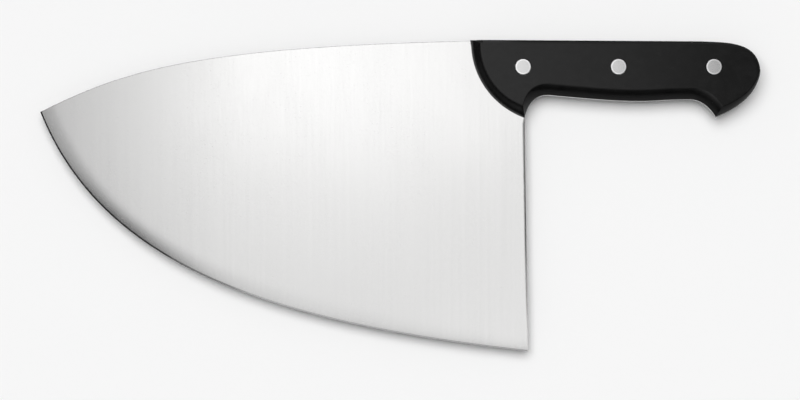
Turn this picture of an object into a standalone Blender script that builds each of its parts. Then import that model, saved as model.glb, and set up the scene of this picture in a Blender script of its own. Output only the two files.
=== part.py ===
"""Fishmonger's splitting knife, lying flat: one steel blade and tang, two scales, three rivets.

Metres, +Z up. X runs along the knife, from the tip at -X to the butt at +X. Y runs across it,
with the spine at +Y and the cutting edge at -Y. Z runs through its thickness. The origin lies
on the lower scale's outer face, on the line of the rivets, midway between the front and middle
rivets, and the X and Y sizes below are taken from there or from the rivets.
"""

import math
from collections import namedtuple

import bmesh
import bpy
from mathutils import Vector
from mathutils.geometry import interpolate_bezier

# Fit of the pieces
FIT_GAP = 0.0003  # between pieces that touch on the real knife
TANG_REVEAL = 0.0003  # how far the steel stands proud of the scales all round

# Blade, a plain sheet of steel ground from both sides
BLADE_LENGTH = 0.280  # tip to heel
HEEL_DROP = 0.1637  # rivet line to the heel's corner
TIP_DROP = 0.0259  # rivet line to the tip
SPINE_RISE = 0.0150  # rivet line to the spine where it meets the handle
HEEL_BEHIND_RIVET = 0.0029  # front rivet back to the heel's corner
STEEL_THICKNESS = 0.0030  # the sheet, which the tang keeps
GRIND_HEIGHT = 0.115  # cutting edge to where the grinding runs out on the flat
ROLL_WIDTH = 0.010  # rounded strip behind the cutting edge
ROLL_THICKNESS = 0.0017  # steel left where that strip begins
BEVEL_WIDTH = 0.0009  # sharpened bevel
BEVEL_THICKNESS = 0.0006  # steel left where the bevel begins
EDGE_THICKNESS = 0.0001  # the cutting edge itself
EDGE_BREAK = 0.0005  # chamfer on the sheet's other edges

# Handle, along X from the rivets and along Y from their line
RIVET_PITCH = 0.0548
FRONT_TOP_AHEAD = 0.0298  # front rivet forward to where the scale's front meets the spine
CHOIL_BEHIND = 0.0010  # front rivet back to the corner where the heel runs into the handle
CHOIL_DROP = 0.0293
BELLY_START_BEHIND = 0.0158  # front rivet back to where the belly begins
BELLY_START_DROP = 0.0165
BELLY_END_AHEAD = 0.0132  # rear rivet forward to where the belly ends
BELLY_END_DROP = 0.0189
BEAK_BEHIND = 0.0012  # rear rivet back to the corner under the butt
BEAK_DROP = 0.0291
BUTT_BEHIND = 0.0266  # rear rivet back to the end of the knife
BUTT_DROP = 0.0019
TOP_END_AHEAD = 0.0074  # rear rivet forward to where the straight top ends
TOP_END_RISE = 0.0146
SCALE_THICKNESS = 0.0075
SCALE_WALL = 0.0008  # upright part of a scale's rim below its slopes
TOP_SLOPE_DEPTH = 0.0014  # depth of the slope round the top, where the rim stands higher

# Width of the slopes from a scale's outer face out to its rim
FRONT_SLOPE = 0.0063
CHOIL_SLOPE = 0.0024
BELLY_SLOPE = 0.0067
BEAK_SLOPE = 0.0062
BUTT_SLOPE = 0.0045
TOP_SLOPE = 0.0012
SLOPE_SWELL = 0.08  # how far a slope bows outward, as a share of its length

# Two-part rivets: a solid pin driven into a tubular socket
HEAD_RADIUS = 0.0044
HEAD_THICKNESS = 0.0020
HEAD_CHAMFER = 0.0002
HEAD_SINK = 0.00005  # head below the scale's outer face
SOCKET_RADIUS = 0.0028
SOCKET_WALL = 0.0007
SOCKET_SHORT = 0.0030  # end of the socket's tube to the pin's head
PIN_ENTRY = 0.0070  # pin inside the tube
PIN_END_ROOM = 0.0020  # pin's end to the floor of the tube

# How an outline's curve leaves its start and arrives at its end: headings in degrees from +X,
# each held for this share of the straight distance between the two
Bend = namedtuple("Bend", "leave hold_start arrive hold_end")
EDGE_BEND = Bend(-68.9, 0.31, -6.5, 0.47)
CHOIL_BEND = Bend(79.0, 0.36, -5.5, 0.49)
BELLY_BEND = Bend(-5.5, 0.75, 0.0, 0.34)
BEAK_BEND = Bend(0.0, 0.15, -60.0, 0.58)
BUTT_BEND = Bend(21.0, 0.64, 96.0, 0.14)
CROWN_BEND = Bend(96.0, 0.44, 177.5, 0.42)
FRONT_BEND = Bend(-91.0, 0.37, -20.0, 0.37)
SPINE_BEND = Bend(181.3, 0.66, 207.2, 0.20)

# Fineness of the curves
EDGE_STEPS = 34
SPINE_STEPS = 20
CHOIL_STEPS = 7
BELLY_STEPS = 9
BEAK_STEPS = 7
BUTT_STEPS = 8
CROWN_STEPS = 10
FRONT_STEPS = 12
ROLL_STEPS = 4
SLOPE_STEPS = 5
ROUND_STEPS = 32

# Room that a cutter takes outside what it cuts
CUTTER_MARGIN = 0.003
CUTTER_RUN_OUT = 0.012
SMOOTH_BELOW = math.radians(25)

Finish = namedtuple("Finish", "colour metallic roughness")
STEEL = Finish((0.60, 0.60, 0.59), 1.0, 0.28)
BLACK_PLASTIC = Finish((0.022, 0.022, 0.023), 0.0, 0.42)
RIVET_STEEL = Finish((0.64, 0.63, 0.61), 1.0, 0.35)

# Places that follow from the sizes
FRONT_RIVET_X = -RIVET_PITCH / 2
MIDDLE_RIVET_X = FRONT_RIVET_X + RIVET_PITCH
REAR_RIVET_X = MIDDLE_RIVET_X + RIVET_PITCH
RIVETS = {"front": FRONT_RIVET_X, "middle": MIDDLE_RIVET_X, "rear": REAR_RIVET_X}
HEEL = Vector((FRONT_RIVET_X + HEEL_BEHIND_RIVET, -HEEL_DROP, 0))
TIP = Vector((HEEL.x - BLADE_LENGTH, -TIP_DROP, 0))
CHOIL = Vector((FRONT_RIVET_X + CHOIL_BEHIND, -CHOIL_DROP, 0))
BELLY_START = Vector((FRONT_RIVET_X + BELLY_START_BEHIND, -BELLY_START_DROP, 0))
BELLY_END = Vector((REAR_RIVET_X - BELLY_END_AHEAD, -BELLY_END_DROP, 0))
BEAK = Vector((REAR_RIVET_X + BEAK_BEHIND, -BEAK_DROP, 0))
BUTT = Vector((REAR_RIVET_X + BUTT_BEHIND, -BUTT_DROP, 0))
TOP_END = Vector((REAR_RIVET_X - TOP_END_AHEAD, TOP_END_RISE, 0))
FRONT_TOP = Vector((FRONT_RIVET_X - FRONT_TOP_AHEAD, SPINE_RISE, 0))
TANG_LOW = SCALE_THICKNESS + FIT_GAP
TANG_HIGH = TANG_LOW + STEEL_THICKNESS
MID_HEIGHT = (TANG_LOW + TANG_HIGH) / 2
TOTAL_THICKNESS = TANG_HIGH + FIT_GAP + SCALE_THICKNESS


def clear_scene():
    for obj in list(bpy.data.objects):
        bpy.data.objects.remove(obj, do_unlink=True)


def heading(degrees):
    angle = math.radians(degrees)
    return Vector((math.cos(angle), math.sin(angle), 0))


def to_the_left(direction):
    return Vector((-direction.y, direction.x, 0))


def curve(start, bend, end, steps):
    """A curved stretch of an outline, without its last point."""
    distance = (end - start).length
    first = start + distance * bend.hold_start * heading(bend.leave)
    last = end - distance * bend.hold_end * heading(bend.arrive)
    return interpolate_bezier(start, first, last, end, steps + 1)[:-1]


def inset(outline, distance):
    """The closed outline, which runs anticlockwise, drawn in by one distance all round."""
    drawn_in = []
    for index, point in enumerate(outline):
        before = to_the_left((point - outline[index - 1]).normalized())
        after = to_the_left((outline[(index + 1) % len(outline)] - point).normalized())
        drawn_in.append(point + (before + after) * distance / (1 + before.dot(after)))
    return drawn_in


def corner_inset(corner, arrive, width_before, leave, width_after):
    """The point at one distance inside the side before a corner, and another inside the next."""
    before = to_the_left(heading(arrive))
    after = to_the_left(heading(leave))
    cross = before.x * after.y - before.y * after.x
    x = (width_before * after.y - width_after * before.y) / cross
    y = (width_after * before.x - width_before * after.x) / cross
    return corner + Vector((x, y, 0))


def grip_outline(choil, belly_start, belly_end, beak, butt, top_end, top_front):
    """The handle from the choil round the butt and along the top, without the last point."""
    return (
        curve(choil, CHOIL_BEND, belly_start, CHOIL_STEPS)
        + curve(belly_start, BELLY_BEND, belly_end, BELLY_STEPS)
        + curve(belly_end, BEAK_BEND, beak, BEAK_STEPS)
        + curve(beak, BUTT_BEND, butt, BUTT_STEPS)
        + curve(butt, CROWN_BEND, top_end, CROWN_STEPS)
        + [top_end, top_front]
    )


def top_front(front_top, setback):
    """A point of the straight top, this far behind the handle's front."""
    return front_top + (TOP_END - FRONT_TOP).normalized() * setback


def steel_outline():
    """The sheet, anticlockwise from the tip along the cutting edge."""
    behind_front = top_front(FRONT_TOP, FRONT_SLOPE + TOP_SLOPE)
    return (
        curve(TIP, EDGE_BEND, HEEL, EDGE_STEPS)
        + [HEEL]
        + grip_outline(CHOIL, BELLY_START, BELLY_END, BEAK, BUTT, TOP_END, behind_front)
        + curve(FRONT_TOP, SPINE_BEND, TIP, SPINE_STEPS)
    )


def scale_outline():
    """A scale where it meets the steel, anticlockwise from the choil."""
    behind_front = top_front(FRONT_TOP, FRONT_SLOPE + TOP_SLOPE)
    grip = grip_outline(CHOIL, BELLY_START, BELLY_END, BEAK, BUTT, TOP_END, behind_front)
    return inset(grip + curve(FRONT_TOP, FRONT_BEND, CHOIL, FRONT_STEPS), TANG_REVEAL)


def face_outline():
    """The flat outer face of a scale, point for point inside scale_outline."""
    choil = corner_inset(CHOIL, FRONT_BEND.arrive, FRONT_SLOPE, CHOIL_BEND.leave, CHOIL_SLOPE)
    belly_start = BELLY_START + BELLY_SLOPE * to_the_left(heading(BELLY_BEND.leave))
    belly_end = BELLY_END + BELLY_SLOPE * to_the_left(heading(BELLY_BEND.arrive))
    beak = corner_inset(BEAK, BEAK_BEND.arrive, BEAK_SLOPE, BUTT_BEND.leave, BUTT_SLOPE)
    butt = BUTT + TOP_SLOPE * to_the_left(heading(CROWN_BEND.leave))
    top_end = TOP_END + TOP_SLOPE * to_the_left(heading(CROWN_BEND.arrive))
    front_top = corner_inset(FRONT_TOP, 180, TOP_SLOPE, FRONT_BEND.leave, FRONT_SLOPE)
    behind_front = top_front(front_top, TOP_SLOPE)
    grip = grip_outline(choil, belly_start, belly_end, beak, butt, top_end, behind_front)
    return grip + curve(front_top, FRONT_BEND, choil, FRONT_STEPS)


def slope_depths():
    """How deep the slope runs at each point of scale_outline."""
    full = SCALE_THICKNESS - SCALE_WALL
    depths = [full] * (CHOIL_STEPS + BELLY_STEPS + BEAK_STEPS)
    for step in range(BUTT_STEPS):
        depths.append(full + (TOP_SLOPE_DEPTH - full) * step / BUTT_STEPS)
    depths += [TOP_SLOPE_DEPTH] * CROWN_STEPS
    depths += [TOP_SLOPE_DEPTH, TOP_SLOPE_DEPTH]
    return depths + [full] * FRONT_STEPS


def new_object(name, body, finish=None):
    """The bmesh as an object with a finish or, without one, as a cutter."""
    bmesh.ops.recalc_face_normals(body, faces=body.faces)
    mesh = bpy.data.meshes.new(name)
    body.to_mesh(mesh)
    body.free()
    obj = bpy.data.objects.new(name, mesh)
    bpy.context.scene.collection.objects.link(obj)
    if finish:
        mesh.materials.append(finish)
    else:
        obj.hide_render = True
        obj.display_type = "WIRE"
    return obj


def material(name, finish):
    made = bpy.data.materials.new(name)
    made.use_nodes = True
    shader = made.node_tree.nodes["Principled BSDF"]
    shader.inputs["Base Color"].default_value = (*finish.colour, 1)
    shader.inputs["Metallic"].default_value = finish.metallic
    shader.inputs["Roughness"].default_value = finish.roughness
    made.diffuse_color = (*finish.colour, 1)
    return made


def stack_rings(rings):
    """A closed body through rings of points, each joined to the next, with flat ends."""
    body = bmesh.new()
    rows = [[body.verts.new(point) for point in ring] for ring in rings]
    for lower, upper in zip(rows, rows[1:]):
        for index in range(len(lower)):
            after = (index + 1) % len(lower)
            body.faces.new((lower[index], lower[after], upper[after], upper[index]))
    body.faces.new(rows[0])
    body.faces.new(rows[-1])
    return body


def at_height(outline, z):
    return [Vector((point.x, point.y, z)) for point in outline]


def turn(profile):
    """A body turned round the Z axis from (radius, height) points that start and end on it."""
    body = bmesh.new()
    points = [body.verts.new((radius, 0, height)) for radius, height in profile]
    edges = [body.edges.new(pair) for pair in zip(points, points[1:])]
    bmesh.ops.spin(
        body,
        geom=points + edges,
        cent=(0, 0, 0),
        axis=(0, 0, 1),
        angle=2 * math.pi,
        steps=ROUND_STEPS,
        use_merge=True,
    )
    bmesh.ops.remove_doubles(body, verts=body.verts, dist=1e-6)
    return body


def cut(obj, cutter):
    modifier = obj.modifiers.new(cutter.name, "BOOLEAN")
    modifier.operation = "DIFFERENCE"
    modifier.solver = "EXACT"
    modifier.object = cutter


def shade_round(mesh):
    mesh.shade_smooth()
    mesh.set_sharp_from_angle(angle=SMOOTH_BELOW)


def finish_cuts(obj):
    """Keeps the cut shape as the object's own mesh and removes its cutters."""
    bpy.context.view_layer.update()
    graph = bpy.context.evaluated_depsgraph_get()
    mesh = bpy.data.meshes.new_from_object(obj.evaluated_get(graph))
    cutters = [modifier.object for modifier in obj.modifiers]
    obj.modifiers.clear()
    obj.data = mesh
    mesh.name = obj.name
    shade_round(mesh)
    for cutter in cutters:
        bpy.data.objects.remove(cutter, do_unlink=True)


def grind_profile():
    """Half of the steel left, by distance from the cutting edge."""
    bevel_rise = (BEVEL_THICKNESS - EDGE_THICKNESS) / 2 / BEVEL_WIDTH
    flat_rise = (STEEL_THICKNESS - ROLL_THICKNESS) / 2 / (GRIND_HEIGHT - ROLL_WIDTH)
    roll_width = ROLL_WIDTH - BEVEL_WIDTH
    roll_drop = (ROLL_THICKNESS - BEVEL_THICKNESS) / 2 - flat_rise * roll_width
    profile = [(-CUTTER_MARGIN, EDGE_THICKNESS / 2 - bevel_rise * CUTTER_MARGIN)]
    for step in range(ROLL_STEPS + 1):
        left = 1 - step / ROLL_STEPS
        half = ROLL_THICKNESS / 2 - flat_rise * roll_width * left - roll_drop * left**2
        profile.append((ROLL_WIDTH - roll_width * left, half))
    past_the_flat = STEEL_THICKNESS / 2 + flat_rise * CUTTER_RUN_OUT
    profile.append((GRIND_HEIGHT + CUTTER_RUN_OUT, past_the_flat))
    return profile


def grinding_cutter(name, side):
    """What grinding takes off one side of the sheet, swept along the cutting edge."""
    before_tip = TIP - CUTTER_RUN_OUT * heading(EDGE_BEND.leave)
    past_heel = HEEL + CUTTER_RUN_OUT * heading(EDGE_BEND.arrive)
    path = [before_tip] + curve(TIP, EDGE_BEND, HEEL, EDGE_STEPS) + [HEEL, past_heel]
    profile = grind_profile()
    clear = STEEL_THICKNESS / 2 + CUTTER_MARGIN
    section = profile + [(profile[-1][0], clear), (profile[0][0], clear)]
    rings = []
    for index, point in enumerate(path):
        along = path[min(index + 1, len(path) - 1)] - path[max(index - 1, 0)]
        inward = to_the_left(along.normalized())
        rings.append([point + inward * width + Vector((0, 0, side * z)) for width, z in section])
    return new_object(name, stack_rings(rings))


def rivet_holes(name, profile):
    """A cutter for each rivet, from one (radius, height) profile."""
    holes = bmesh.new()
    for x in RIVETS.values():
        hole = turn(profile)
        bmesh.ops.translate(hole, verts=hole.verts, vec=(x, 0, 0))
        mesh = bpy.data.meshes.new(name)
        hole.to_mesh(mesh)
        hole.free()
        holes.from_mesh(mesh)
        bpy.data.meshes.remove(mesh)
    return new_object(name, holes)


def blade(finish):
    """The blade and its full tang, one sheet of steel."""
    half = STEEL_THICKNESS / 2
    outline = steel_outline()
    drawn_in = inset(outline, EDGE_BREAK)
    sheet = stack_rings(
        [
            at_height(drawn_in, -half),
            at_height(outline, EDGE_BREAK - half),
            at_height(outline, half - EDGE_BREAK),
            at_height(drawn_in, half),
        ]
    )
    obj = new_object("blade", sheet, finish)
    bore = SOCKET_RADIUS + FIT_GAP
    clear = half + CUTTER_MARGIN
    cut(obj, grinding_cutter("upper_grinding", 1))
    cut(obj, grinding_cutter("lower_grinding", -1))
    cut(obj, rivet_holes("tang_holes", [(0, -clear), (bore, -clear), (bore, clear), (0, clear)]))
    finish_cuts(obj)
    obj.location.z = MID_HEIGHT


def slope_ring(outline, face, depths, share):
    """One ring of a scale's slopes, this share of the way from the rim to the outer face."""
    ring = []
    for rim_point, face_point, depth in zip(outline, face, depths):
        foot = Vector((rim_point.x, rim_point.y, SCALE_THICKNESS - depth))
        crest = Vector((face_point.x, face_point.y, SCALE_THICKNESS))
        across = face_point - rim_point
        outward = Vector((0, 0, across.length)) - across.normalized() * depth
        swell = SLOPE_SWELL * 4 * share * (1 - share)
        ring.append(foot.lerp(crest, share) + swell * outward)
    return ring


def scale(name, side, finish):
    """A scale, from its seat on the tang out to its face; side is 1 for up and -1 for down."""
    outline = scale_outline()
    face = face_outline()
    depths = slope_depths()
    rings = [at_height(outline, 0)]
    for step in range(SLOPE_STEPS + 1):
        rings.append(slope_ring(outline, face, depths, step / SLOPE_STEPS))
    body = stack_rings(rings)
    for vertex in body.verts:
        vertex.co.z *= side
    bore = SOCKET_RADIUS + FIT_GAP
    head_hole = HEAD_RADIUS + FIT_GAP
    shoulder = SCALE_THICKNESS - HEAD_SINK - HEAD_THICKNESS - FIT_GAP
    clear = SCALE_THICKNESS + CUTTER_MARGIN
    hole = [
        (0, -CUTTER_MARGIN),
        (bore, -CUTTER_MARGIN),
        (bore, shoulder),
        (head_hole, shoulder),
        (head_hole, clear),
        (0, clear),
    ]
    obj = new_object(name, body, finish)
    cut(obj, rivet_holes(name + "_holes", [(radius, side * z) for radius, z in hole]))
    finish_cuts(obj)
    obj.location.z = MID_HEIGHT + side * (STEEL_THICKNESS / 2 + FIT_GAP)


def rivet_half(name, shank, finish):
    """The mesh of half a rivet, its head's outer face at height 0, from its shank's profile."""
    head = [
        (0, 0),
        (HEAD_RADIUS - HEAD_CHAMFER, 0),
        (HEAD_RADIUS, HEAD_CHAMFER),
        (HEAD_RADIUS, HEAD_THICKNESS),
    ]
    body = turn(head + shank)
    bmesh.ops.recalc_face_normals(body, faces=body.faces)
    mesh = bpy.data.meshes.new(name)
    body.to_mesh(mesh)
    body.free()
    mesh.materials.append(finish)
    shade_round(mesh)
    return mesh


def rivets(finish):
    """Each rivet's socket in the lower scale and its pin in the upper one, on one axis."""
    between_heads = TOTAL_THICKNESS - 2 * (HEAD_SINK + HEAD_THICKNESS)
    tube_end = HEAD_THICKNESS + between_heads - SOCKET_SHORT
    bore = SOCKET_RADIUS - SOCKET_WALL
    floor = tube_end - PIN_ENTRY - PIN_END_ROOM
    tube = [
        (SOCKET_RADIUS, HEAD_THICKNESS),
        (SOCKET_RADIUS, tube_end),
        (bore, tube_end),
        (bore, floor),
        (0, floor),
    ]
    pin = bore - FIT_GAP
    pin_end = HEAD_THICKNESS + SOCKET_SHORT + PIN_ENTRY
    shank = [(pin, HEAD_THICKNESS), (pin, pin_end), (0, pin_end)]
    socket_mesh = rivet_half("rivet_socket", tube, finish)
    pin_mesh = rivet_half("rivet_pin", shank, finish)
    for place, x in RIVETS.items():
        socket = bpy.data.objects.new(place + "_rivet_socket", socket_mesh)
        socket.location = (x, 0, HEAD_SINK)
        turned_over = bpy.data.objects.new(place + "_rivet_pin", pin_mesh)
        turned_over.location = (x, 0, TOTAL_THICKNESS - HEAD_SINK)
        turned_over.rotation_euler.x = math.pi
        for obj in (socket, turned_over):
            bpy.context.scene.collection.objects.link(obj)


def main():
    clear_scene()
    blade(material("steel", STEEL))
    plastic = material("black_plastic", BLACK_PLASTIC)
    scale("upper_scale", 1, plastic)
    scale("lower_scale", -1, plastic)
    rivets(material("rivet_steel", RIVET_STEEL))


main()
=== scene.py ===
"""Looks of the fish splitting knife: finer steel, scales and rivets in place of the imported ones.

Metres, in the part's frame: +X from the tip to the butt, +Y from the cutting edge to the spine,
+Z up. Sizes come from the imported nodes' boxes, or else from the rivets and the knife's ends.
"""

import math
from collections import namedtuple

import bmesh
import bpy
import numpy as np
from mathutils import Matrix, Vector
from mathutils.geometry import delaunay_2d_cdt, interpolate_bezier


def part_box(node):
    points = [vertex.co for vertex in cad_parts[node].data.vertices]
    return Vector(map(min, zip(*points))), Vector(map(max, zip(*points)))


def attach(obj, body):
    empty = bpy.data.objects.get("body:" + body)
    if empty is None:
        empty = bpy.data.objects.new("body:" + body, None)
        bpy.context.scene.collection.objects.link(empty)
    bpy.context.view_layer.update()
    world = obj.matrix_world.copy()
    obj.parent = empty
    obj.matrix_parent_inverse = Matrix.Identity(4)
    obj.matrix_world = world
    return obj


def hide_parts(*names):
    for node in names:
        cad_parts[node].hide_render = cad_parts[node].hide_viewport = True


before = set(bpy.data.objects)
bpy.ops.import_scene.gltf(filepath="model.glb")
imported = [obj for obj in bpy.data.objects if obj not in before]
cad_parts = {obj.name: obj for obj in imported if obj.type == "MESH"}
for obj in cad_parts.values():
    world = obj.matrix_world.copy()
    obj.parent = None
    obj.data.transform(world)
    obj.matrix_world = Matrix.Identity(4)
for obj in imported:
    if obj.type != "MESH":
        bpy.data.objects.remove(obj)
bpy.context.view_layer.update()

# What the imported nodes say
STEEL_LOW, STEEL_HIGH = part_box("blade")
SCALE_LOW, SCALE_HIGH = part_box("upper_scale")
PIN_LOW, PIN_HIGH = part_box("front_rivet_pin")
RIVET_PLACES = ("front", "middle", "rear")
RIVETS = {place: sum(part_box(place + "_rivet_pin"), Vector()).x / 2 for place in RIVET_PLACES}
FRONT_RIVET_X, REAR_RIVET_X = RIVETS["front"], RIVETS["rear"]
MID_HEIGHT = (STEEL_LOW.z + STEEL_HIGH.z) / 2
HALF_STEEL = (STEEL_HIGH.z - STEEL_LOW.z) / 2
SCALE_HEIGHT = SCALE_HIGH.z - STEEL_HIGH.z
FIT_GAP = SCALE_LOW.z - STEEL_HIGH.z
HEAD_RADIUS = (PIN_HIGH.x - PIN_LOW.x) / 2

# Blade
TIP_REACH = 0.0008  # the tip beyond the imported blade's end
TIP_DROP = 0.0258  # rivet line to the tip
HEEL_BEHIND_RIVET = 0.0029  # front rivet back to the heel's corner
GRIND_HEIGHT = 0.115  # cutting edge to where the grinding runs out on the flat
ROLL_WIDTH = 0.010  # rounded strip behind the cutting edge
ROLL_THICKNESS = 0.0017  # steel left at the far side of that strip
BEVEL_WIDTH = 0.0009  # sharpened bevel
BEVEL_THICKNESS = 0.0006  # steel left at the far side of the bevel
EDGE_THICKNESS = 0.0001  # the cutting edge itself
RIM_ROUND = 0.00030  # rounding of the spine
TANG_RIM_ROUND = 0.00012  # rounding of the tang
RIM_FADE_START = 0.002  # cutting edge to where the sheet's rim begins to be eased
RIM_FADE = 0.004  # from there to where it is eased in full
HEEL_CHAMFER_WIDTH = 0.0008
HEEL_CHAMFER_DEPTH = 0.00036
HEEL_CHAMFER_FADE = 0.060  # heel's corner to where the chamfer is full
TANG_HOLE_RADIUS = 0.0031

# Handle
TANG_REVEAL = 0.0003  # how far the steel shows beyond the scales
TOP_PROUD = 0.00045  # how far the scales stand beyond the steel at the front of the top
FRONT_TOP_AHEAD = 0.0298  # front rivet forward to where the scale's front meets the spine
CHOIL_BEHIND = 0.0010  # front rivet back to the corner where the heel runs into the handle
CHOIL_DROP = 0.0293
BELLY_START_BEHIND = 0.0158  # front rivet back to where the belly begins
BELLY_START_DROP = 0.0165
BELLY_END_AHEAD = 0.0132  # rear rivet forward to where the belly ends
BELLY_END_DROP = 0.0189
BEAK_BEHIND = 0.0012  # rear rivet back to the corner under the butt
BEAK_DROP = 0.0291
BUTT_DROP = 0.0019
TOP_END_AHEAD = 0.0074  # rear rivet forward to where the straight top ends
TOP_END_RISE = 0.0146
SCALE_WALL = 0.0008  # least upright part of a scale's rim, below its slopes
TOP_SLOPE_DEPTH = 0.0014
FRONT_SLOPE = 0.0063  # widths of the slopes, seen from above
FRONT_TOP_SLOPE = 0.0053
CHOIL_SLOPE = 0.0024
BELLY_SLOPE = 0.0067
BEAK_SLOPE = 0.0062
BUTT_SLOPE = 0.0045
TOP_SLOPE = 0.0012
SEAT_GAP = 0.00002  # between a scale and the steel

# Rivets
HEAD_GAP = 0.00026  # between a head and its hole in the scale
HEAD_THICKNESS = 0.0020
HEAD_CROWN = 0.00002  # how far a head's middle stands above the start of its eased rim
HEAD_DOME = ((0.45, 0.3), (0.8, 0.8))  # shares of the head's radius and of the crown's fall
# Inward from a head's rim, and how far the head falls there beyond its crown
HEAD_EASE = ((0.0007, 0), (0.0003, 0.000003), (0.00012, 0.000015), (0.00004, 0.00006), (0, 0.00014))
SOCKET_RADIUS = 0.0028
SOCKET_WALL = 0.0007
PIN_RADIUS = 0.0018
PIN_END_ROOM = 0.0020  # pin's end to the floor of the socket's bore
RING_PITCH = 0.00022  # between the turned rings on a head
PAINTED_HIGHLIGHT_START = 0.0009  # inward from a head's rim to where its painted highlight begins
PAINTED_HIGHLIGHT_FULL = 0.0006

# A slope's swell, as a share of its length, how far the swell leans to the rim, and how far the
# slope is eased at the rim, below the crest and beyond the crest
Shape = namedtuple("Shape", "swell lean rim crest brow")
FRONT_SHAPE = Shape(0.08, 1.0, 0.0007, 0.0003, 0.0008)
BELLY_SHAPE = Shape(0.047, 0.0, 0.0003, 0.0005, 0.0005)
BEAK_SHAPE = Shape(0.047, 0.0, 0.0003, 0.0001, 0.0001)
BUTT_SHAPE = Shape(0.05, 0.0, 0.0003, 0.0004, 0.0004)
TOP_SHAPE = Shape(0.0, 0.0, 0.0003, 0.0005, 0.0005)
CORNER_SHAPE = Shape(0.08, 1.0, 0.0003, 0.0003, 0.0001)

# A curve's headings in degrees where it leaves its start and arrives at its end, and how far it
# holds each of them, as a share of the distance between the ends
Bend = namedtuple("Bend", "leave hold_start arrive hold_end")
EDGE_BEND = Bend(-68.3, 0.308, -6.4, 0.471)
CHOIL_BEND = Bend(79.0, 0.36, -5.5, 0.49)
BELLY_BEND = Bend(-5.5, 0.75, 0.0, 0.34)
BEAK_BEND = Bend(0.0, 0.15, -60.0, 0.58)
BUTT_BEND = Bend(21.0, 0.64, 96.0, 0.14)
CROWN_BEND = Bend(96.0, 0.44, 177.5, 0.42)
FRONT_BEND = Bend(-91.0, 0.37, -20.0, 0.37)
SPINE_BEND = Bend(181.2, 0.66, 206.1, 0.20)

# Steps along the outlines, and round the circles and the eased edges
EDGE_STEPS = 150
HEEL_STEPS = 40
SPINE_STEPS = 80
CHOIL_STEPS = 20
BELLY_STEPS = 28
BEAK_STEPS = 20
BUTT_STEPS = 24
CROWN_STEPS = 30
FRONT_STEPS = 36
TOP_STEPS = 24
CORNER_BLEND = 5
FRONT_TOP_STEPS = 8
SLOPE_STEPS = 10
RIM_EASE_STEPS = 3
CREST_EASE_STEPS = 5
ROUND_STEPS = 64

# Rows of points at these distances from the sheet's rim, from the cutting edge, near and far, from
# a scale's outline and from a rivet's hole
RIM_RINGS = (0.00003, 0.00009, 0.00018, 0.00035, 0.0008, 0.0016)
EDGE_RINGS = (0.0015, 0.0023, 0.0032, 0.0043, 0.0055, 0.0068, 0.0083, 0.010, 0.0125)
GRIND_RINGS = (0.017, 0.025, 0.036, 0.050, 0.066, 0.082, 0.098, 0.115)
FACE_RINGS = (0.0004, 0.0012, 0.0030, 0.0060)
HOLE_RINGS = (0.0003, 0.0010, 0.0022)
GRIND_RING_STRIDE = 3  # the far rows use one point in three
RING_CLEARANCE = 0.0026  # least room between the edge's rows and the sheet's other sides
RING_SHARE = 0.97  # a row is cut where it comes nearer than this share of its distance
EDGE_RUN_OUT = 0.020  # how far the cutting edge's line is drawn on past both ends
BEVEL_SLACK = 0.000009  # faces that reach this far past the bevel's line still lie on the bevel
TOUCH = 0.000001  # points this near to the bevel's line lie on it
SAME_POINT = 1e-8  # points this near to each other are joined
INSIDE_OUTLINE = 1  # asks the triangulation for the triangles inside the outline
STEEL_CREASE = math.radians(35)  # edges that bend by more are shaded sharp
CREASE = math.radians(40)

# Camera, straight above the middle of the photograph, which is 800 pixels wide
PICTURE_CENTRE = (-0.0981, -0.0765)
PICTURE_WIDTH = 0.4605
CAMERA_HEIGHT = 2.5
SENSOR_WIDTH = 36.0  # millimetres

# Light
DOME = 0.22  # what matt surfaces see of the world
BACKDROP = 0.93  # what the camera sees of it
DARKEST = 0.03  # the least that gloss sees of it
BRIGHT_SIDE = (-0.55, 0.83, 0)
DARK_SIDE = (-1, 0, 0)
WINDOW_SIDE = (0, 1, 0)
SOFTBOX_SIDE = (-0.87, -0.50, 0)
MIRRORED_FLOOR = 0.38  # the floor's whiteness in reflections
FLOOR_REACH = 20  # from the floor's middle to its sides

HEEL = Vector((FRONT_RIVET_X + HEEL_BEHIND_RIVET, STEEL_LOW.y, 0))
TIP = Vector((STEEL_LOW.x - TIP_REACH, -TIP_DROP, 0))
CHOIL = Vector((FRONT_RIVET_X + CHOIL_BEHIND, -CHOIL_DROP, 0))
BELLY_START = Vector((FRONT_RIVET_X + BELLY_START_BEHIND, -BELLY_START_DROP, 0))
BELLY_END = Vector((REAR_RIVET_X - BELLY_END_AHEAD, -BELLY_END_DROP, 0))
BEAK = Vector((REAR_RIVET_X + BEAK_BEHIND, -BEAK_DROP, 0))
BUTT = Vector((STEEL_HIGH.x, -BUTT_DROP, 0))
TOP_END = Vector((REAR_RIVET_X - TOP_END_AHEAD, TOP_END_RISE, 0))
FRONT_TOP = Vector((FRONT_RIVET_X - FRONT_TOP_AHEAD, STEEL_HIGH.y, 0))


# Outlines


def heading(degrees):
    angle = math.radians(degrees)
    return Vector((math.cos(angle), math.sin(angle), 0))


def to_the_left(direction):
    return Vector((-direction.y, direction.x, 0))


def curve(start, bend, end, steps):
    """A curved stretch of an outline, without its last point."""
    distance = (end - start).length
    first = start + distance * bend.hold_start * heading(bend.leave)
    last = end - distance * bend.hold_end * heading(bend.arrive)
    return interpolate_bezier(start, first, last, end, steps + 1)[:-1]


def straight(start, end, steps):
    return [start.lerp(end, step / steps) for step in range(steps)]


def inset(outline, distances):
    """The closed outline, which runs anticlockwise, drawn in by a distance at each point."""
    drawn_in = []
    for index, (point, distance) in enumerate(zip(outline, distances)):
        before = to_the_left((point - outline[index - 1]).normalized())
        after = to_the_left((outline[(index + 1) % len(outline)] - point).normalized())
        drawn_in.append(point + (before + after) * distance / (1 + before.dot(after)))
    return drawn_in


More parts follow.
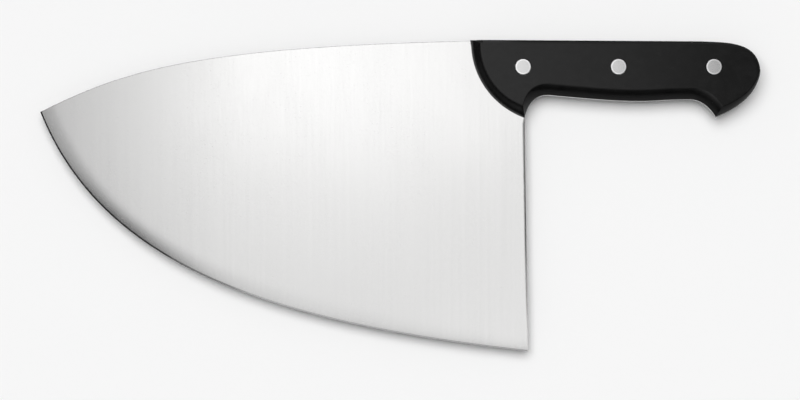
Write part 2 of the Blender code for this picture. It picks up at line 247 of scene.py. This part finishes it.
def corner_inset(corner, arrive, width_before, leave, width_after):
    """The point at one distance inside the side before a corner, and another inside the next."""
    before = to_the_left(heading(arrive))
    after = to_the_left(heading(leave))
    cross = before.x * after.y - before.y * after.x
    x = (width_before * after.y - width_after * before.y) / cross
    y = (width_after * before.x - width_before * after.x) / cross
    return corner + Vector((x, y, 0))


def grip_outline(choil, belly_start, belly_end, beak, butt, top_end, behind_front):
    """The handle from the choil round the butt and along the top to near its front."""
    return (
        curve(choil, CHOIL_BEND, belly_start, CHOIL_STEPS)
        + curve(belly_start, BELLY_BEND, belly_end, BELLY_STEPS)
        + curve(belly_end, BEAK_BEND, beak, BEAK_STEPS)
        + curve(beak, BUTT_BEND, butt, BUTT_STEPS)
        + curve(butt, CROWN_BEND, top_end, CROWN_STEPS)
        + straight(top_end, behind_front, TOP_STEPS)
    )


def top_front(front_top, setback):
    return front_top + (TOP_END - FRONT_TOP).normalized() * setback


def run_out(corner, beside, edge_heading, distance):
    """Where a line at this distance from the cutting edge meets the side that leaves its corner."""
    side = (beside - corner).normalized()
    return corner + side * (distance / side.dot(to_the_left(heading(edge_heading))))


def steel_rim():
    """The sheet's outline from the heel round the tang and along the spine, without the tip.

    The bevel runs out on its second and its last point.
    """
    behind_front = top_front(FRONT_TOP, FRONT_SLOPE + TOP_SLOPE)
    heel = [HEEL]
    heel += [run_out(HEEL, CHOIL, EDGE_BEND.arrive, x) for x in (BEVEL_WIDTH, *EDGE_RINGS)]
    spine = curve(FRONT_TOP, SPINE_BEND, TIP, SPINE_STEPS)
    return (
        heel[:-1]
        + straight(heel[-1], CHOIL, HEEL_STEPS)
        + grip_outline(CHOIL, BELLY_START, BELLY_END, BEAK, BUTT, TOP_END, behind_front)
        + straight(behind_front, FRONT_TOP, FRONT_TOP_STEPS)
        + spine
        + [run_out(TIP, spine[-1], EDGE_BEND.leave, BEVEL_WIDTH)]
    )


def scale_outline():
    """A scale where it meets the steel, anticlockwise from the choil.

    The reveal is 1 where a line of steel shows beyond the scale, 0 where they are flush, and -1
    where the scale stands proud.
    """
    behind_front = top_front(FRONT_TOP, FRONT_SLOPE + TOP_SLOPE)
    outline = (
        grip_outline(CHOIL, BELLY_START, BELLY_END, BEAK, BUTT, TOP_END, behind_front)
        + straight(behind_front, FRONT_TOP, FRONT_TOP_STEPS)
        + curve(FRONT_TOP, FRONT_BEND, CHOIL, FRONT_STEPS)
    )
    reveals = list(np.linspace(0.1, 1, CHOIL_STEPS, endpoint=False))
    reveals += [1] * (BELLY_STEPS + BEAK_STEPS)
    reveals += list(np.minimum(np.linspace(3, 0, BUTT_STEPS, endpoint=False), 1))
    reveals += [0] * CROWN_STEPS
    reveals += list(np.linspace(0, -1, TOP_STEPS, endpoint=False)) + [-1] * (FRONT_TOP_STEPS + 1)
    reveals += [-0.5, 0] + [0] * (FRONT_STEPS - 3)
    reveals = np.array(reveals)
    return inset(outline, np.where(reveals > 0, TANG_REVEAL, TOP_PROUD) * reveals)


def face_outline():
    """The flat outer face of a scale, point for point inside scale_outline."""
    choil = corner_inset(CHOIL, FRONT_BEND.arrive, FRONT_SLOPE, CHOIL_BEND.leave, CHOIL_SLOPE)
    belly_start = BELLY_START + BELLY_SLOPE * to_the_left(heading(BELLY_BEND.leave))
    belly_end = BELLY_END + BELLY_SLOPE * to_the_left(heading(BELLY_BEND.arrive))
    beak = corner_inset(BEAK, BEAK_BEND.arrive, BEAK_SLOPE, BUTT_BEND.leave, BUTT_SLOPE)
    butt = BUTT + TOP_SLOPE * to_the_left(heading(CROWN_BEND.leave))
    top_end = TOP_END + TOP_SLOPE * to_the_left(heading(CROWN_BEND.arrive))
    front_top = corner_inset(FRONT_TOP, 180, TOP_SLOPE, FRONT_BEND.leave, FRONT_TOP_SLOPE)
    behind_front = top_front(front_top, TOP_SLOPE)
    return (
        grip_outline(choil, belly_start, belly_end, beak, butt, top_end, behind_front)
        + straight(behind_front, front_top, FRONT_TOP_STEPS)
        + curve(front_top, FRONT_BEND, choil, FRONT_STEPS)
    )


def slope_depths():
    """How deep the slope runs at each point of scale_outline."""
    full = SCALE_HEIGHT - FIT_GAP - SCALE_WALL
    depths = [full] * (CHOIL_STEPS + BELLY_STEPS + BEAK_STEPS)
    depths += list(np.linspace(full, TOP_SLOPE_DEPTH, BUTT_STEPS, endpoint=False))
    depths += [TOP_SLOPE_DEPTH] * (CROWN_STEPS + TOP_STEPS)
    depths += list(np.linspace(TOP_SLOPE_DEPTH, full, FRONT_TOP_STEPS, endpoint=False))
    return depths + [full] * FRONT_STEPS


def blended(first, last):
    """Shapes that pass from one to another, without the last."""
    shares = np.linspace(0, 1, CORNER_BLEND, endpoint=False)
    return [Shape(*(a + (b - a) * float(share) for a, b in zip(first, last))) for share in shares]


def slope_shapes():
    """The slope's Shape at each point of scale_outline."""
    shapes = [BELLY_SHAPE] * (CHOIL_STEPS + BELLY_STEPS) + [BEAK_SHAPE] * BEAK_STEPS
    shapes += [BUTT_SHAPE] * BUTT_STEPS
    shapes += [TOP_SHAPE] * (CROWN_STEPS + TOP_STEPS - CORNER_BLEND)
    shapes += blended(TOP_SHAPE, CORNER_SHAPE) + [CORNER_SHAPE] * FRONT_TOP_STEPS
    shapes += blended(CORNER_SHAPE, FRONT_SHAPE)
    return shapes + [FRONT_SHAPE] * (FRONT_STEPS - CORNER_BLEND)


# Meshes


def new_piece(name, body, node, materials):
    """The bmesh as a smooth-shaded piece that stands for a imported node."""
    mesh = bpy.data.meshes.new(name)
    body.to_mesh(mesh)
    body.free()
    for made in materials:
        mesh.materials.append(made)
    piece = bpy.data.objects.new(name, mesh)
    bpy.context.scene.collection.objects.link(piece)
    weighted = piece.modifiers.new("weighted_normals", "WEIGHTED_NORMAL")
    weighted.keep_sharp = True
    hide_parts(node)
    return piece


def sharpen(body, angle):
    """Turns the faces out, shades them smooth and marks the edges that bend by more than an angle."""
    bmesh.ops.recalc_face_normals(body, faces=body.faces)
    body.normal_update()
    for edge in body.edges:
        edge.smooth = len(edge.link_faces) == 2 and edge.calc_face_angle() < angle
    for face in body.faces:
        face.smooth = True


def flat(points):
    return np.array([(point[0], point[1]) for point in points])


def distance_to(points, line):
    """Each point's least distance to an open line of points."""
    start, along = line[:-1], line[1:] - line[:-1]
    offset = points[:, None] - start[None]
    share = np.clip((offset * along).sum(2) / (along**2).sum(1), 0, 1)
    return np.linalg.norm(offset - share[..., None] * along, axis=2).min(1)


def inside(points, outline):
    a, b = outline, np.roll(outline, -1, 0)
    x, y = points[:, :1], points[:, 1:]
    straddles = (a[:, 1] > y) != (b[:, 1] > y)
    rise = np.where(b[:, 1] == a[:, 1], 1, b[:, 1] - a[:, 1])
    crossing = a[:, 0] + (y - a[:, 1]) / rise * (b[:, 0] - a[:, 0])
    return (straddles & (x < crossing)).sum(1) % 2 == 1


def offset_line(line, distance):
    """An open line moved to its left."""
    along = np.gradient(line, axis=0)
    along /= np.linalg.norm(along, axis=1)[:, None]
    return line + distance * np.stack([-along[:, 1], along[:, 0]], 1)


def circle(x, radius):
    angles = np.arange(ROUND_STEPS) * 2 * math.pi / ROUND_STEPS
    return np.stack([x + radius * np.cos(angles), radius * np.sin(angles)], 1)


def unbroken(line, kept):
    """The stretches of an open line of points that are kept."""
    stretches = np.split(np.arange(len(line)), np.flatnonzero(np.diff(kept.astype(int))) + 1)
    return [line[stretch] for stretch in stretches if kept[stretch[0]] and len(stretch) > 1]


def triangulate(outline, holes, lines):
    """Points and triangles that fill the outline round the holes, with edges along the lines.

    The points start with the outline's and then each hole's, in order.
    """
    points, edges = [], []
    for loop in (outline, *holes):
        first = len(points)
        edges += [(first + i, first + (i + 1) % len(loop)) for i in range(len(loop))]
        points += list(loop)
    for line in lines:
        first = len(points)
        edges += [(first + i, first + i + 1) for i in range(len(line) - 1)]
        points += list(line)
    vectors = [Vector(point) for point in points]
    found = delaunay_2d_cdt(vectors, edges, [], INSIDE_OUTLINE, SAME_POINT)
    places = np.array([tuple(place) for place in found[0]])
    faces = np.array(found[2])
    in_hole = np.zeros(len(faces), bool)
    for index, hole in enumerate(holes):
        first = len(outline) + index * len(hole)
        in_hole |= ((faces >= first) & (faces < first + len(hole))).all(1)
    return places, faces[~in_hole]


def half_ground(distance):
    """Half of the steel left by grinding, at this distance from the cutting edge."""
    flat_rise = (HALF_STEEL - ROLL_THICKNESS / 2) / (GRIND_HEIGHT - ROLL_WIDTH)
    roll_width = ROLL_WIDTH - BEVEL_WIDTH
    roll_drop = (ROLL_THICKNESS - BEVEL_THICKNESS) / 2 - flat_rise * roll_width
    bevel_rise = (BEVEL_THICKNESS - EDGE_THICKNESS) / 2 / BEVEL_WIDTH
    left = np.clip((ROLL_WIDTH - distance) / roll_width, 0, 1)
    blade = ROLL_THICKNESS / 2 + flat_rise * (distance - ROLL_WIDTH) - roll_drop * left**2
    return np.minimum(np.minimum(blade, EDGE_THICKNESS / 2 + bevel_rise * distance), HALF_STEEL)


def rim_left(distance, from_edge, places):
    """The share of the thickness left by easing the rim, at this distance from the rim.

    The spine and tang are rounded, and the heel is chamfered, less towards the cutting edge.
    """
    in_handle = (places[:, 0] > FRONT_TOP.x) & ((places[:, 1] > CHOIL.y) | (places[:, 0] > 0))
    at_heel = (places[:, 0] > FRONT_TOP.x) & ~in_handle
    ease = np.where(in_handle, TANG_RIM_ROUND, RIM_ROUND)
    left = ease - np.clip(distance, 0, ease)
    rounded = ease - np.sqrt(ease**2 - left**2)
    share = np.clip((places[:, 1] - HEEL.y) / HEEL_CHAMFER_FADE, 0, 1)
    chamfer = HEEL_CHAMFER_DEPTH * share * np.clip(1 - distance / HEEL_CHAMFER_WIDTH, 0, 1)
    eased = np.where(at_heel, chamfer, rounded)
    return 1 - eased / HALF_STEEL * np.clip((from_edge - RIM_FADE_START) / RIM_FADE, 0, 1)


def steel_blade(materials):
    """Blade and tang: two mirrored skins over one net of points, joined round the rim."""
    edge = flat(curve(TIP, EDGE_BEND, HEEL, EDGE_STEPS))
    rim = flat(steel_rim())
    outline = np.vstack([edge, rim])
    rim_line = np.vstack([rim, edge[:1]])
    edge_line = np.vstack(
        [
            edge[0] - EDGE_RUN_OUT * flat([heading(EDGE_BEND.leave)]),
            edge,
            rim[:1],
            rim[0] + EDGE_RUN_OUT * flat([heading(EDGE_BEND.arrive)]),
        ]
    )
    bevel_line = offset_line(edge_line[1:-1], BEVEL_WIDTH)
    lines = [np.vstack([rim[-1:], bevel_line[1:-1], rim[1:2]])]
    for distance in RIM_RINGS:
        whole = inset([Vector((*point, 0)) for point in outline], [distance] * len(outline))
        ring = flat(whole)[len(edge) :]
        kept = inside(ring, outline) & (distance_to(ring, rim_line) > distance * RING_SHARE)
        kept &= distance_to(ring, edge_line) > 2 * BEVEL_WIDTH
        lines += unbroken(ring, kept)
    for distance in EDGE_RINGS + GRIND_RINGS:
        ring = offset_line(edge_line[1:-1], distance)
        ring = ring[:: 1 if distance in EDGE_RINGS else GRIND_RING_STRIDE]
        kept = inside(ring, outline) & (distance_to(ring, rim_line) > RING_CLEARANCE)
        lines += unbroken(ring, kept)
    holes = [circle(x, TANG_HOLE_RADIUS) for x in RIVETS.values()]
    places, faces = triangulate(outline, holes, lines)
    from_edge = distance_to(places, edge_line)
    half = half_ground(from_edge) * rim_left(distance_to(places, rim_line), from_edge, places)

    body = bmesh.new()
    upper = [body.verts.new((*place, MID_HEIGHT + z)) for place, z in zip(places, half)]
    lower = [body.verts.new((*place, MID_HEIGHT - z)) for place, z in zip(places, half)]
    for a, b, c in faces:
        on_bevel = max(from_edge[[a, b, c]]) < BEVEL_WIDTH + BEVEL_SLACK
        for corners in ((upper[a], upper[b], upper[c]), (lower[c], lower[b], lower[a])):
            body.faces.new(corners).material_index = int(on_bevel)
    twin = dict(zip(upper, lower))
    rims = [edge for edge in body.edges if edge.is_boundary and edge.verts[0] in twin]
    for a, b in [tuple(edge.verts) for edge in rims]:
        body.faces.new((b, a, twin[a], twin[b])).material_index = 2
    body.verts.index_update()
    sharpen(body, STEEL_CREASE)
    at_bevel = np.abs(from_edge - BEVEL_WIDTH) < TOUCH
    for line in body.edges:
        if all(at_bevel[vertex.index % len(places)] for vertex in line.verts):
            line.smooth = False
    return new_piece("steel_blade", body, "blade", materials)


def bend_through(start, corner, end, share):
    """A point on the curve that rounds a corner."""
    return start.lerp(corner, share).lerp(corner.lerp(end, share), share)


def scale_profile(rim, crest, depth, shape):
    """One section through a scale's wall, slope and crest, from its seat to its face."""
    foot = Vector((rim.x, rim.y, SCALE_HEIGHT - depth))
    top = Vector((crest.x, crest.y, SCALE_HEIGHT))
    across = crest - rim
    outward = Vector((0, 0, across.length)) - across.normalized() * depth
    length = (top - foot).length

    def slope(share):
        bulge = 4 * share * (1 - share) * (1 + shape.lean * (1 - 2 * share))
        return foot.lerp(top, share) + outward * (shape.swell * bulge)

    rim_ease = min(shape.rim, length / 4)
    crest_ease = min(shape.crest, length / 2)
    start, end = rim_ease / length, 1 - crest_ease / length
    below = foot - Vector((0, 0, rim_ease))
    beyond = top + across.normalized() * shape.brow
    section = [Vector((rim.x, rim.y, SEAT_GAP))]
    for step in range(RIM_EASE_STEPS):
        section.append(bend_through(below, foot, slope(start), step / RIM_EASE_STEPS))
    for step in range(SLOPE_STEPS):
        section.append(slope(start + (end - start) * step / SLOPE_STEPS))
    for step in range(CREST_EASE_STEPS + 1):
        section.append(bend_through(slope(end), top, beyond, step / CREST_EASE_STEPS))
    return section


def grip_scale(name, node, side, materials):
    """A scale of the handle; side is 1 for the upper one and -1 for the lower one."""
    sections = [
        scale_profile(rim, crest, depth, shape)
        for rim, crest, depth, shape in zip(
            scale_outline(), face_outline(), slope_depths(), slope_shapes()
        )
    ]
    base = MID_HEIGHT + side * HALF_STEEL
    body = bmesh.new()

    def vertex(point, height):
        return body.verts.new((point[0], point[1], base + side * height))

    rings = [[vertex(point, point.z) for point in ring] for ring in zip(*sections)]
    for lower, upper in zip(rings, rings[1:]):
        for i in range(len(lower)):
            j = (i + 1) % len(lower)
            body.faces.new((lower[i], lower[j], upper[j], upper[i]))
    hole_radius = HEAD_RADIUS + HEAD_GAP
    holes = [circle(x, hole_radius) for x in RIVETS.values()]
    mouths = []
    for ring, height in ((rings[0], SEAT_GAP), (rings[-1], SCALE_HEIGHT)):
        outline = flat([corner.co for corner in ring])
        lines = [
            circle(x, hole_radius + distance) for x in RIVETS.values() for distance in HOLE_RINGS
        ]
        for distance in FACE_RINGS:
            inner = flat(inset([corner.co for corner in ring], [distance] * len(ring)))
            kept = inside(inner, outline)
            closed = np.vstack([outline, outline[:1]])
            kept &= distance_to(inner, closed) > distance * RING_SHARE
            lines += unbroken(inner, kept)
        places, faces = triangulate(outline, holes, lines)
        corners = ring + [vertex(point, height) for point in places[len(ring) :]]
        for face in faces:
            body.faces.new([corners[i] for i in face])
        mouths.append(corners[len(ring) : len(ring) + len(holes) * ROUND_STEPS])
    seat, face = mouths
    for index in range(len(seat)):
        onward = index + 1 if (index + 1) % ROUND_STEPS else index + 1 - ROUND_STEPS
        body.faces.new((seat[index], seat[onward], face[onward], face[index]))
    sharpen(body, CREASE)
    return new_piece(name, body, node, materials)


def turned_half(name, node, side, materials):
    """Half a rivet, the pin above or the socket below, with an eased rim that is painted lighter as a
    highlight.
    """
    low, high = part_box(node)
    face = high.z if side > 0 else low.z
    length = high.z - low.z
    profile = [(HEAD_RADIUS * out, HEAD_CROWN * fall) for out, fall in HEAD_DOME]
    profile += [(HEAD_RADIUS - inward, HEAD_CROWN + fall) for inward, fall in HEAD_EASE]
    profile.append((HEAD_RADIUS, HEAD_THICKNESS))
    if side > 0:
        profile += [(PIN_RADIUS, HEAD_THICKNESS), (PIN_RADIUS, length)]
    else:
        bore = PIN_LOW.z - PIN_END_ROOM - low.z
        profile += [(SOCKET_RADIUS, HEAD_THICKNESS), (SOCKET_RADIUS, length)]
        profile += [(SOCKET_RADIUS - SOCKET_WALL, length), (SOCKET_RADIUS - SOCKET_WALL, bore)]
    body = bmesh.new()
    top = body.verts.new((0, 0, 0))
    end = body.verts.new((0, 0, -side * profile[-1][1]))
    rings = []
    for radius, depth in profile:
        rings.append([body.verts.new((x, y, -side * depth)) for x, y in circle(0, radius)])
    for i in range(ROUND_STEPS):
        j = (i + 1) % ROUND_STEPS
        body.faces.new((top, rings[0][i], rings[0][j]))
        body.faces.new((end, rings[-1][j], rings[-1][i]))
        for inner, outer in zip(rings, rings[1:]):
            body.faces.new((inner[i], outer[i], outer[j], inner[j]))
    sharpen(body, CREASE)
    piece = new_piece(name, body, node, materials)
    piece.location = ((low.x + high.x) / 2, 0, face)
    return piece


# Materials


class Nodes:
    """Short calls for building a material's or the world's node tree."""

    def __init__(self, tree):
        self.tree = tree

    def add(self, kind, inputs=None, **settings):
        """A node with these settings, and with numbers, colours or other outputs on its inputs."""
        node = self.tree.nodes.new(kind)
        for name, value in settings.items():
            setattr(node, name, value)
        for socket, value in (inputs or {}).items():
            if isinstance(value, bpy.types.NodeSocket):
                self.tree.links.new(value, node.inputs[socket])
            else:
                node.inputs[socket].default_value = value
        return node

    def math(self, operation, first, second=0.0):
        inputs = {0: first, 1: second}
        return self.add("ShaderNodeMath", inputs, operation=operation).outputs[0]

    def vector(self, operation, output, *vectors):
        inputs = dict(enumerate(vectors))
        return self.add("ShaderNodeVectorMath", inputs, operation=operation).outputs[output]

    def total(self, first, *others):
        for other in others:
            first = self.math("ADD", first, other)
        return first

    def product(self, first, *others):
        for other in others:
            first = self.math("MULTIPLY", first, other)
        return first

    def noise(self, place, cells, detail=2.0, roughness=0.5):
        """Noise from 0 to 1 with this many cells a metre along X, Y and Z."""
        scaled = self.vector("MULTIPLY", "Vector", place, cells)
        inputs = {"Vector": scaled, "Scale": 1.0, "Detail": detail, "Roughness": roughness}
        return self.add("ShaderNodeTexNoise", inputs).outputs["Fac"]

    def spread(self, value, found, wanted):
        """A value brought from one range to another, and held at the ends."""
        inputs = {"Value": value, "From Min": found[0], "From Max": found[1]}
        inputs.update({"To Min": wanted[0], "To Max": wanted[1]})
        return self.add("ShaderNodeMapRange", inputs).outputs["Result"]

    def blend(self, share, first, second):
        inputs = {0: share, 6: first, 7: second}
        return self.add("ShaderNodeMix", inputs, data_type="RGBA").outputs[2]

    def bump(self, height, distance, strength=1.0):
        inputs = {"Height": height, "Distance": distance, "Strength": strength}
        return self.add("ShaderNodeBump", inputs).outputs["Normal"]


def new_material(name, **sockets):
    """A Principled material with these plain values.

    Returns it with its node tool, the place on the object and a call that wires the shader.
    """
    made = bpy.data.materials.new(name)
    made.use_nodes = True
    shader = made.node_tree.nodes["Principled BSDF"]
    for socket, value in sockets.items():
        shader.inputs[socket.replace("_", " ")].default_value = value
    nodes = Nodes(made.node_tree)
    place = nodes.add("ShaderNodeTexCoord").outputs["Object"]

    def wire(socket, value):
        made.node_tree.links.new(value, shader.inputs[socket])

    return made, nodes, place, wire


def grey(level, warmth=0.0):
    return (level * (1 + warmth), level, level * (1 - warmth), 1)


def blade_steel():
    """Satin ground steel: fine lines across the blade, faint cloudy tone, a few hairlines."""
    made, nodes, place, wire = new_material("blade_steel", Metallic=1.0)
    lines = nodes.noise(place, (5200, 60, 60), 3.0, 0.6)
    bands = nodes.noise(place, (420, 7, 7), 2.0, 0.5)
    cloud = nodes.noise(place, (22, 16, 16), 2.0, 0.5)
    hairs = nodes.noise(place, (900, 2600, 900), 1.0, 0.5)
    tone = nodes.total(nodes.product(lines, 0.35), nodes.product(bands, 0.65))
    wire("Base Color", nodes.blend(tone, grey(0.565, 0.004), grey(0.605, 0.004)))
    rough = nodes.total(
        nodes.spread(lines, (0.3, 0.7), (0.0, 0.06)),
        nodes.spread(cloud, (0.3, 0.7), (0.17, 0.21)),
        nodes.spread(hairs, (0.62, 0.72), (0.0, 0.05)),
    )
    wire("Roughness", rough)
    relief = nodes.total(lines, nodes.product(bands, 2.0))
    wire("Normal", nodes.bump(relief, 0.0000006))
    return made


def bevel_steel():
    """The sharpened bevel, with short grinding lines across it."""
    made, nodes, place, wire = new_material("bevel_steel", Metallic=1.0)
    lines = nodes.noise(place, (7000, 500, 500), 2.0, 0.6)
    wire("Base Color", nodes.blend(lines, grey(0.50), grey(0.57)))
    wire("Roughness", nodes.spread(lines, (0.3, 0.7), (0.09, 0.15)))
    wire("Normal", nodes.bump(lines, 0.000001))
    return made


def rim_steel():
    """The sheet's edge, with coarse grinding lines across its thickness."""
    made, nodes, place, wire = new_material("rim_steel", Metallic=1.0)
    lines = nodes.noise(place, (2600, 2600, 120), 3.0, 0.6)
    wire("Base Color", nodes.blend(lines, grey(0.40), grey(0.52)))
    wire("Roughness", nodes.spread(lines, (0.3, 0.7), (0.28, 0.42)))
    wire("Normal", nodes.bump(lines, 0.000003))
    return made


def scale_plastic():
    """Moulded black plastic: pebbled skin, a mottled grey bloom, an uneven sheen, some rubbed marks."""
    made, nodes, place, wire = new_material("scale_plastic", Specular_IOR_Level=0.25)
    pebble = nodes.noise(place, (5200, 5200, 5200), 3.0, 0.6)
    sheen = nodes.noise(place, (60, 90, 60), 3.0, 0.55)
    rubbed = nodes.noise(place, (170, 900, 300), 2.0, 0.6)
    clouds = nodes.noise(place, (240, 300, 240), 4.0, 0.65)
    specks = nodes.noise(place, (1300, 1300, 1300), 2.0, 0.6)
    bloom = nodes.spread(nodes.product(clouds, specks), (0.20, 0.42), (0.0, 1.0))
    wire("Base Color", nodes.blend(bloom, grey(0.0003), grey(0.0040)))
    rough = nodes.total(
        nodes.spread(sheen, (0.3, 0.7), (0.19, 0.24)),
        nodes.spread(rubbed, (0.6, 0.75), (0.0, 0.05)),
    )
    wire("Roughness", rough)
    wire("Normal", nodes.bump(pebble, 0.000006, 0.5))
    return made


def rivet_steel():
    """Rivet heads ground flush: fine turned rings, and a rim painted lighter and a little rougher, a
    painted highlight.
    """
    made, nodes, place, wire = new_material("rivet_steel", Metallic=1.0)
    level = nodes.vector("MULTIPLY", "Vector", place, (1, 1, 0))
    radius = nodes.vector("LENGTH", "Value", level)
    rings = nodes.math("SINE", nodes.product(radius, 2 * math.pi / RING_PITCH))
    grain = nodes.noise(place, (2600, 2600, 2600), 2.0, 0.6)
    marks = nodes.total(nodes.product(rings, 0.25), grain)
    # a ring of lighter colour round the head's rim: a painted highlight, not a finish of the steel
    rim = nodes.spread(radius, (HEAD_RADIUS - PAINTED_HIGHLIGHT_START, HEAD_RADIUS - PAINTED_HIGHLIGHT_FULL), (0.0, 1.0))
    worn = nodes.blend(marks, grey(0.49), grey(0.56))
    wire("Base Color", nodes.blend(rim, worn, grey(0.76)))
    rough = nodes.total(nodes.spread(grain, (0.3, 0.7), (0.26, 0.34)), nodes.product(rim, 0.06))
    wire("Roughness", rough)
    wire("Normal", nodes.bump(marks, 0.0000015))
    return made


def floor_paint():
    """Matt white, which gloss sees darker: the photograph's white is brighter than its reflections."""
    made, nodes, place, wire = new_material("floor_paint", Roughness=0.9, Specular_IOR_Level=0.0)
    grain = nodes.noise(place, (300, 300, 300), 3.0, 0.6)
    white = nodes.blend(grain, grey(0.895), grey(0.905))
    gloss = nodes.add("ShaderNodeLightPath").outputs["Is Glossy Ray"]
    wire("Base Color", nodes.blend(gloss, white, grey(MIRRORED_FLOOR)))
    return made


# Studio


def hang(name, lamp, place, rotation, matt):
    """A lamp that the camera doesn't see, for matt surfaces or else for gloss."""
    made = bpy.data.objects.new(name, lamp)
    made.location = place
    made.rotation_euler = rotation
    made.visible_camera = False
    made.visible_diffuse = matt
    made.visible_glossy = not matt
    bpy.context.scene.collection.objects.link(made)


def overhead(name, centre, size, radiance, above):
    """A softbox for gloss alone that faces down over the knife, this far above the steel.

    Where two overlap they hang at different heights, because in one plane one hides the other.
    """
    lamp = bpy.data.lights.new(name, "AREA")
    lamp.shape = "RECTANGLE"
    lamp.size, lamp.size_y = size
    lamp.energy = math.pi * size[0] * size[1] * radiance
    hang(name, lamp, (*centre, STEEL_HIGH.z + above), (0, 0, 0), False)


def key(azimuth, elevation, spread, strength):
    """One broad, even light on all matt surfaces, from an azimuth counted from +X."""
    lamp = bpy.data.lights.new("key", "SUN")
    lamp.angle = math.radians(spread)
    lamp.energy = strength
    turned = (math.radians(90 - elevation), 0, math.radians(azimuth + 90))
    hang("key", lamp, (0, 0, 2), turned, True)


def studio_world():
    """An even dome for matt surfaces, a darker room for gloss, and a pale backdrop.

    The room's walls brighten upwards and stop short of the lamps over the knife. A dark corner, a
    window and a low softbox give the handle's slopes their tones.
    """
    world = bpy.data.worlds.new("studio")
    bpy.context.scene.world = world
    world.use_nodes = True
    world.node_tree.nodes.clear()
    nodes = Nodes(world.node_tree)
    toward = nodes.add("ShaderNodeTexCoord").outputs["Generated"]
    up = nodes.add("ShaderNodeSeparateXYZ", {0: toward}).outputs["Z"]

    def facing(side, found, wanted=(0.0, 1.0)):
        return nodes.spread(nodes.vector("DOT_PRODUCT", "Value", toward, side), found, wanted)

    walls = nodes.product(
        nodes.spread(up, (0.04, 0.60), (0.0, 1.8)),
        nodes.spread(up, (0.58, 0.72), (1.0, 0.0)),
        facing(BRIGHT_SIDE, (-0.7, 0.7), (0.18, 1.0)),
        facing(DARK_SIDE, (0.92, 0.97), (1.0, 0.12)),
    )
    window = nodes.product(
        facing(WINDOW_SIDE, (0.86, 0.97)),
        nodes.spread(up, (0.12, 0.28), (0.10, 1.4)),
    )
    softbox = nodes.product(
        facing(SOFTBOX_SIDE, (0.30, 0.60)),
        nodes.spread(up, (0.36, 0.44), (0.0, 1.8)),
        nodes.spread(up, (0.55, 0.65), (1.0, 0.0)),
    )
    room = nodes.total(walls, window, softbox, DARKEST)
    path = nodes.add("ShaderNodeLightPath").outputs
    gloss = nodes.product(path["Is Glossy Ray"], nodes.math("SUBTRACT", room, DOME))
    seen = nodes.product(path["Is Camera Ray"], BACKDROP - DOME)
    strength = nodes.total(gloss, seen, DOME)
    light = nodes.add("ShaderNodeBackground", {"Color": grey(1.0), "Strength": strength})
    nodes.add("ShaderNodeOutputWorld", {"Surface": light.outputs[0]})


def white_floor():
    body = bmesh.new()
    bmesh.ops.create_grid(body, x_segments=1, y_segments=1, size=FLOOR_REACH)
    mesh = bpy.data.meshes.new("floor")
    body.to_mesh(mesh)
    body.free()
    mesh.materials.append(floor_paint())
    floor = bpy.data.objects.new("floor", mesh)
    bpy.context.scene.collection.objects.link(floor)


def studio():
    """Floor and light. Where the lamps over the knife overlap, their light adds up."""
    bpy.context.scene.view_settings.view_transform = "Standard"
    studio_world()
    white_floor()
    key(azimuth=105, elevation=73, spread=48, strength=2.67)
    overhead("whole_panel", (0.010, -0.100), (0.72, 0.99), 0.429, 0.60)
    overhead("left_panel", (-0.215, 0.125), (0.63, 0.54), 0.659, 0.61)
    overhead("near_panel", (-0.097, -0.235), (0.394, 0.18), 0.759, 0.59)
    overhead("far_core", (-0.125, 0.170), (0.27, 0.45), 0.510, 0.62)
    overhead("heel_core", (0.040, -0.040), (0.12, 0.20), 0.080, 0.615)
    overhead("bevel_strip", (-0.155, -0.500), (0.60, 0.14), 0.330, 0.61)
    overhead("near_core", (0.010, -0.235), (0.18, 0.36), 0.152, 0.58)
    overhead("middle_core", (-0.170, 0.125), (0.18, 0.54), 0.219, 0.605)


def camera():
    lens = bpy.data.cameras.new("camera")
    lens.sensor_width = SENSOR_WIDTH
    lens.lens = SENSOR_WIDTH * CAMERA_HEIGHT / PICTURE_WIDTH
    lens.clip_end = 100
    made = bpy.data.objects.new("camera", lens)
    made.location = (*PICTURE_CENTRE, STEEL_HIGH.z + CAMERA_HEIGHT)
    bpy.context.scene.collection.objects.link(made)
    bpy.context.scene.camera = made


def main():
    steel = [blade_steel(), bevel_steel(), rim_steel()]
    plastic = [scale_plastic()]
    rivet = [rivet_steel()]
    pieces = [
        steel_blade(steel),
        grip_scale("upper_grip", "upper_scale", 1, plastic),
        grip_scale("lower_grip", "lower_scale", -1, plastic),
    ]
    for place in RIVET_PLACES:
        pieces.append(turned_half(place + "_rivet_upper", place + "_rivet_pin", 1, rivet))
        pieces.append(turned_half(place + "_rivet_lower", place + "_rivet_socket", -1, rivet))
    for piece in pieces:
        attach(piece, "root")
    studio()
    camera()


main()
